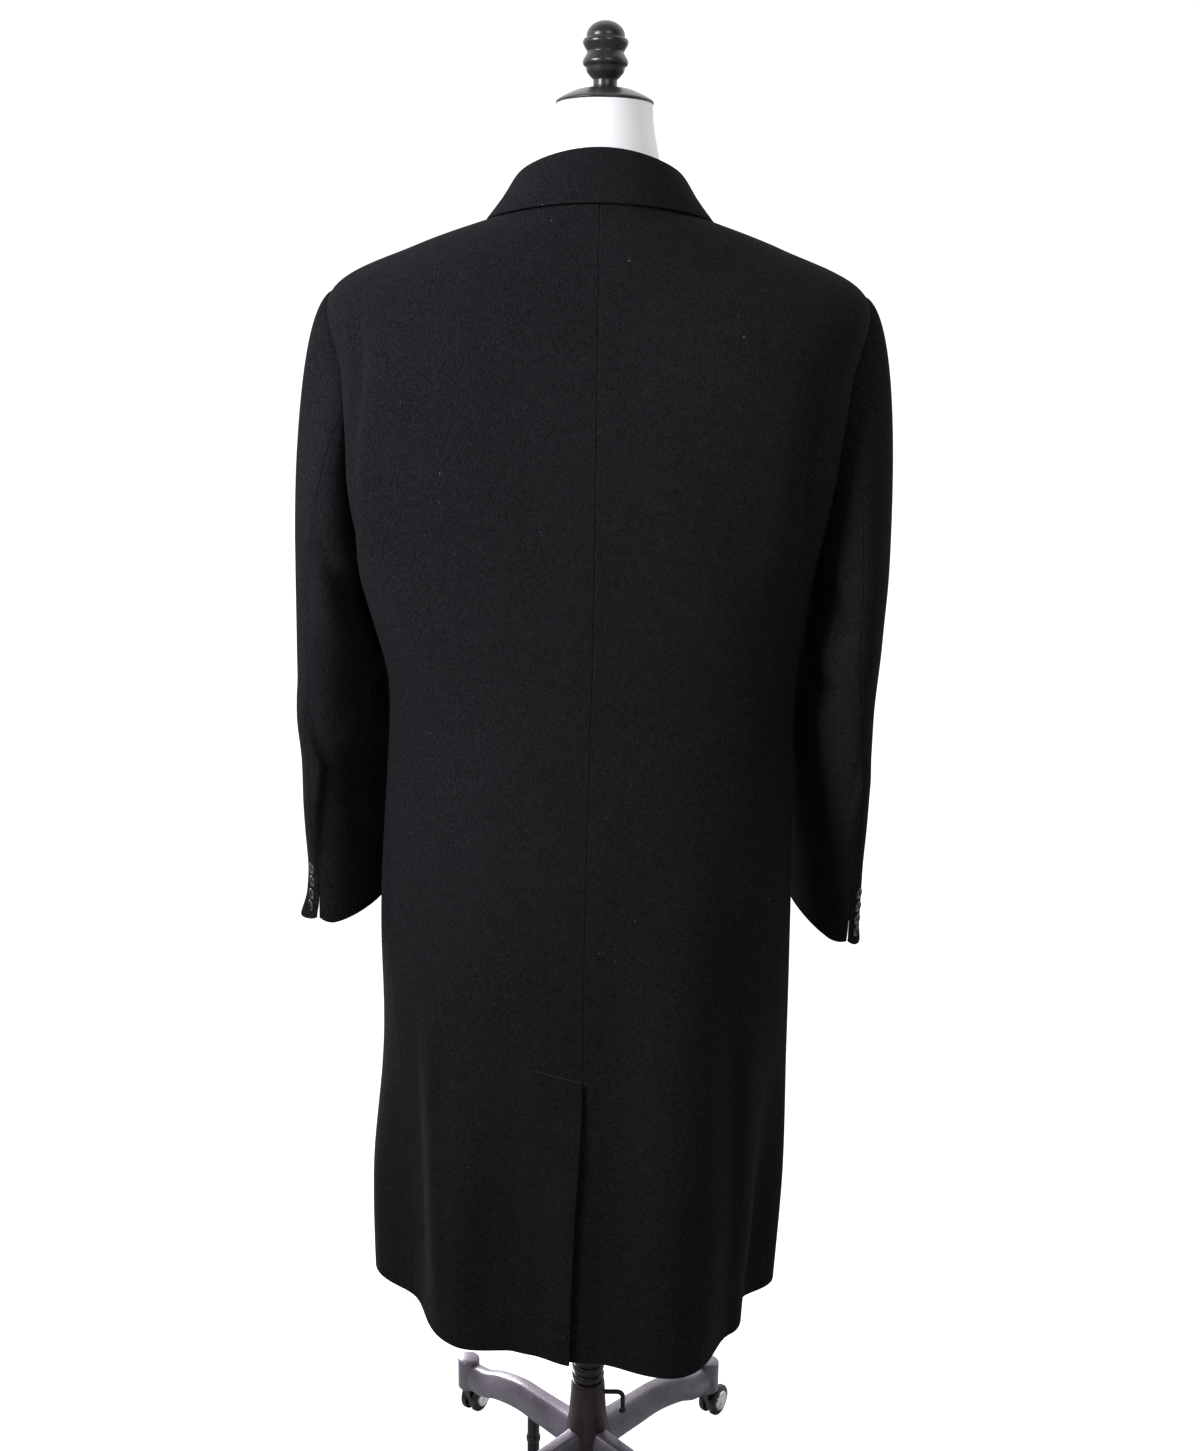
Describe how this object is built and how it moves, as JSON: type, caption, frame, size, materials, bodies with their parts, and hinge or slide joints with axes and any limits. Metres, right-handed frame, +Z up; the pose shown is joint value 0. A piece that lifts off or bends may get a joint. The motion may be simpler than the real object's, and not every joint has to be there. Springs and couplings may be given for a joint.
{
  "type": "topcoat on a dress form with a rolling stand",
  "caption": "Buttoned wool topcoat with notch lapels and a vented back, worn by a limbless dress form on a cast rolling foot.",
  "frame": {"origin": "on the floor, on the axis of the stand's column", "axes": "+Z up; the coat's front faces -Y; +X is the wearer's left"},
  "size_m": [0.5561, 0.3631, 1.4984],
  "materials": {
    "coat_cloth": "brushed black wool coating with a short nap",
    "buttons": "dark grey four-hole horn look, half gloss",
    "form_jersey": "smooth white jersey",
    "turned_wood": "black lacquer, satin",
    "cast_foot": "grey-brown painted casting",
    "black_steel": "black, half gloss",
    "black_plastic": "black moulded",
    "bright_disc": "bright plated"
  },
  "bodies": {
    "base": {"base_casting": "cast_foot", "ribbed_collar": "black_plastic", "leg_post": "cast_foot", "post_ring": "black_plastic"},
    "mast": {"pole": "black_steel"},
    "figure": {"back_left": "coat_cloth", "back_right": "coat_cloth", "front_left": "coat_cloth", "front_right": "coat_cloth", "lapel_left": "coat_cloth", "lapel_right": "coat_cloth", "collar": "coat_cloth", "top_sleeve_left": "coat_cloth", "under_sleeve_left": "coat_cloth", "top_sleeve_right": "coat_cloth", "under_sleeve_right": "coat_cloth", "front_button_1": "buttons", "front_button_2": "buttons", "front_button_3": "buttons", "cuff_button_left_1": "buttons", "cuff_button_left_2": "buttons", "cuff_button_left_3": "buttons", "cuff_button_left_4": "buttons", "cuff_button_right_1": "buttons", "cuff_button_right_2": "buttons", "cuff_button_right_3": "buttons", "cuff_button_right_4": "buttons", "form_torso": "form_jersey", "form_socket": "black_steel", "neck_cap": "turned_wood", "finial": "turned_wood"},
    "clamp": {"clamp_lever": "black_steel"},
    "swivel_left_front": {"caster_housing_left_front": "black_plastic"},
    "wheels_left_front": {"caster_wheels_left_front": "black_plastic", "caster_disc_a_left_front": "bright_disc", "caster_disc_b_left_front": "bright_disc"},
    "swivel_left_back": {"caster_housing_left_back": "black_plastic"},
    "wheels_left_back": {"caster_wheels_left_back": "black_plastic", "caster_disc_a_left_back": "bright_disc", "caster_disc_b_left_back": "bright_disc"},
    "swivel_right_back": {"caster_housing_right_back": "black_plastic"},
    "wheels_right_back": {"caster_wheels_right_back": "black_plastic", "caster_disc_a_right_back": "bright_disc", "caster_disc_b_right_back": "bright_disc"},
    "swivel_right_front": {"caster_housing_right_front": "black_plastic"},
    "wheels_right_front": {"caster_wheels_right_front": "black_plastic", "caster_disc_a_right_front": "bright_disc", "caster_disc_b_right_front": "bright_disc"},
    "brake": {"brake_tab": "black_plastic"}
  },
  "joints": [
    {"name": "height_slide", "type": "slide", "parent": "base", "child": "mast", "axis": [0, 0, 1], "range_m": [0, 0.07]},
    {"name": "form_turn", "type": "hinge", "parent": "mast", "child": "figure", "pos_m": [0, 0, 0.69], "axis": [0, 0, 1], "continuous": true},
    {"name": "clamp_screw", "type": "hinge", "parent": "base", "child": "clamp", "pos_m": [0, 0, 0.1335], "axis": [-1, 0, 0], "range_deg": [0, 360]},
    {"name": "swivel_left_front", "type": "hinge", "parent": "base", "child": "swivel_left_front", "pos_m": [0.1393, -0.1393, 0.05], "axis": [0, 0, 1], "continuous": true},
    {"name": "roll_left_front", "type": "hinge", "parent": "swivel_left_front", "child": "wheels_left_front", "pos_m": [0.13226, -0.15254, 0.01755], "axis": [0.8829, -0.4695, 0], "continuous": true},
    {"name": "swivel_left_back", "type": "hinge", "parent": "base", "child": "swivel_left_back", "pos_m": [0.1393, 0.1393, 0.05], "axis": [0, 0, 1], "continuous": true},
    {"name": "roll_left_back", "type": "hinge", "parent": "swivel_left_back", "child": "wheels_left_back", "pos_m": [0.12571, 0.13296, 0.01755], "axis": [0.4226, -0.9063, 0], "continuous": true},
    {"name": "swivel_right_back", "type": "hinge", "parent": "base", "child": "swivel_right_back", "pos_m": [-0.1393, 0.1393, 0.05], "axis": [0, 0, 1], "continuous": true},
    {"name": "roll_right_back", "type": "hinge", "parent": "swivel_right_back", "child": "wheels_right_back", "pos_m": [-0.12815, 0.12926, 0.01755], "axis": [0.6691, 0.7431, 0], "continuous": true},
    {"name": "swivel_right_front", "type": "hinge", "parent": "base", "child": "swivel_right_front", "pos_m": [-0.1393, -0.1393, 0.05], "axis": [0, 0, 1], "continuous": true},
    {"name": "roll_right_front", "type": "hinge", "parent": "swivel_right_front", "child": "wheels_right_front", "pos_m": [-0.14769, -0.15174, 0.01755], "axis": [0.829, -0.5592, 0], "continuous": true},
    {"name": "brake_rock", "type": "hinge", "parent": "swivel_left_front", "child": "brake", "pos_m": [0.12514, -0.16593, 0.0243], "axis": [0.8829, -0.4695, 0], "range_deg": [0, 14]}
  ]
}
